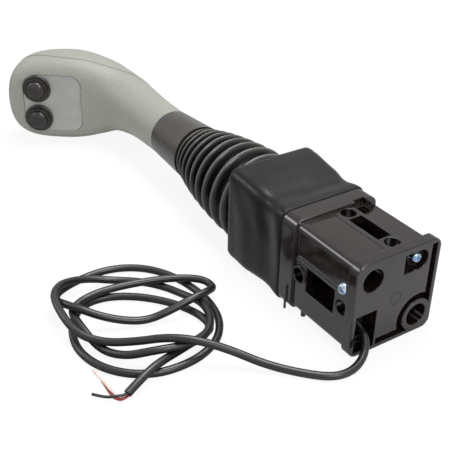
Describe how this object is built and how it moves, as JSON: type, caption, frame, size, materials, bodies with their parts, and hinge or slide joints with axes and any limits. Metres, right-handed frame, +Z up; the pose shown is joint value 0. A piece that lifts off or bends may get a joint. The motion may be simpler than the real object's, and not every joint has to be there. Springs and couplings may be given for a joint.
{
  "type": "industrial joystick",
  "caption": "Control joystick with a cranked grip, push buttons on its panel, a bellows and boot over a square slotted base, and a coiled cord.",
  "frame": {"origin": "centre of the flange's mounting face", "axes": "+X out of the mounting face, so the lever runs along -X; +Z up with the joystick lying on its side; the head of the grip leans towards -Y"},
  "size_m": [0.3989, 0.1947, 0.0716],
  "materials": {
    "base_plastic": "gloss",
    "boot_rubber": "matte",
    "sleeve_plastic": "satin",
    "grip_plastic": "matte",
    "panel_plastic": "satin",
    "button_plastic": "satin",
    "switch_plastic": "matte",
    "core_plastic": "matte",
    "zinc": "zinc plated",
    "steel": "satin",
    "bronze": "satin",
    "gimbal_alloy": "cast",
    "cord_jacket": "matte",
    "red_insulation": "satin",
    "white_insulation": "satin",
    "black_insulation": "satin"
  },
  "bodies": {
    "housing": {"housing": "base_plastic", "housing_screws": "zinc", "pivot_pins": "steel", "boot": "boot_rubber", "bellows": "boot_rubber", "cord_gland": "switch_plastic", "cord_lead": "cord_jacket", "cord_coil": "cord_jacket", "cord_tail": "cord_jacket", "red_wire": "red_insulation", "white_wire": "white_insulation", "black_wire": "black_insulation"},
    "gimbal_ring": {"gimbal_ring": "gimbal_alloy", "pivot_bushes": "bronze", "ring_ball_stud": "steel", "hub_pins": "steel"},
    "lever": {"lever_hub": "gimbal_alloy", "hub_ball_stud": "steel", "lever_rod": "steel", "sleeve": "sleeve_plastic", "grip_finger_shell": "grip_plastic", "grip_palm_shell": "grip_plastic", "grip_core": "core_plastic", "neck_screws": "zinc", "button_panel": "panel_plastic", "button_bezel_1": "button_plastic", "button_bezel_2": "button_plastic", "panel_nut_1": "zinc", "panel_nut_2": "zinc", "switch_body_1": "switch_plastic", "switch_body_2": "switch_plastic"},
    "button_1": {"button_cap_1": "button_plastic"},
    "button_2": {"button_cap_2": "button_plastic"}
  },
  "joints": [
    {"name": "lever_up_down", "type": "hinge", "parent": "housing", "child": "gimbal_ring", "pos_m": [-0.074, 0, 0], "axis": [0, 1, 0], "range_deg": [-16, 16], "deforming": ["bellows"]},
    {"name": "lever_side_to_side", "type": "hinge", "parent": "gimbal_ring", "child": "lever", "pos_m": [-0.074, 0, 0], "axis": [0, 0, 1], "range_deg": [-16, 16], "deforming": ["bellows"]},
    {"name": "button_1_press", "type": "slide", "parent": "lever", "child": "button_1", "axis": [-0.7977, 0.6031, 0], "range_m": [0, 0.0018], "stiffness_N_per_m": 1000, "springref_m": -0.002},
    {"name": "button_2_press", "type": "slide", "parent": "lever", "child": "button_2", "axis": [-0.7977, 0.6031, 0], "range_m": [0, 0.0018], "stiffness_N_per_m": 1000, "springref_m": -0.002}
  ]
}
